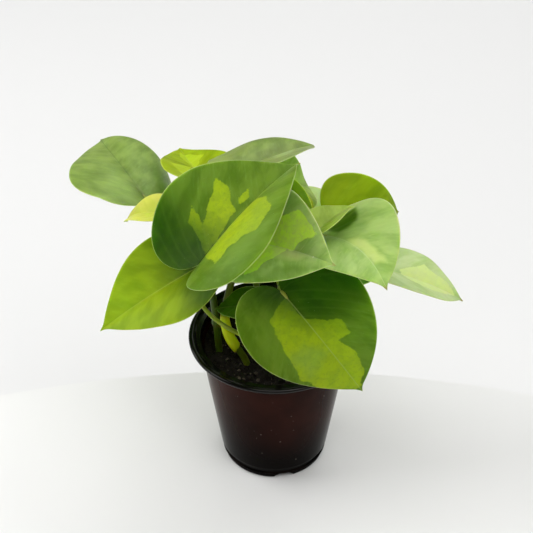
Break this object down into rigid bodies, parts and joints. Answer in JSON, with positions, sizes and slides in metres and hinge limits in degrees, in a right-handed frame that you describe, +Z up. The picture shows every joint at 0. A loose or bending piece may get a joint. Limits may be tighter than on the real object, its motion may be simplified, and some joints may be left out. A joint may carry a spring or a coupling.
{
  "type": "potted pothos plant",
  "caption": "Young pothos with variegated heart-shaped leaves on short leaning stems, in a small round tapered dark plastic nursery pot filled with soil.",
  "frame": {"origin": "centre of the pot's underside, on the table plane", "axes": "+Z up along the pot's axis, -Y to the viewer, +X to the viewer's right"},
  "size_m": [0.2435, 0.2007, 0.2122],
  "materials": {
    "pot_plastic": "gloss",
    "potting_soil": "matte",
    "stem_left": "satin",
    "stem_sheathed": "satin",
    "stem_green": "satin",
    "leaf_far_left": "satin",
    "leaf_back_left": "satin",
    "leaf_back_top": "satin",
    "leaf_main": "satin",
    "leaf_low_left": "satin",
    "leaf_small_pale": "satin",
    "leaf_centre": "satin",
    "leaf_right": "satin",
    "leaf_back_right": "satin",
    "leaf_far_right": "satin",
    "leaf_front": "satin",
    "leaf_small_front": "satin",
    "leaf_young_folded": "satin",
    "leaf_behind_main": "satin",
    "leaf_young_rolled": "satin",
    "leaf_pale_back": "satin",
    "leaf_rear_centre": "satin",
    "leaf_rear_left": "satin",
    "leaf_rear_right": "satin"
  },
  "bodies": {
    "root": {"pot": "pot_plastic", "potting_soil": "potting_soil", "stem_left": "stem_left", "stem_sheathed": "stem_sheathed", "stem_front": "stem_green", "stem_right": "stem_green", "stem_back": "stem_green", "stem_back_right": "stem_green", "leaf_far_left": "leaf_far_left", "leaf_back_left": "leaf_back_left", "leaf_back_top": "leaf_back_top", "leaf_main": "leaf_main", "leaf_low_left": "leaf_low_left", "leaf_small_pale": "leaf_small_pale", "leaf_centre": "leaf_centre", "leaf_right": "leaf_right", "leaf_back_right": "leaf_back_right", "leaf_far_right": "leaf_far_right", "leaf_front": "leaf_front", "leaf_small_front": "leaf_small_front", "leaf_young_folded": "leaf_young_folded", "leaf_behind_main": "leaf_behind_main", "leaf_young_rolled": "leaf_young_rolled", "leaf_pale_back": "leaf_pale_back", "leaf_rear_centre": "leaf_rear_centre", "leaf_rear_left": "leaf_rear_left", "leaf_rear_right": "leaf_rear_right"}
  },
  "joints": []
}
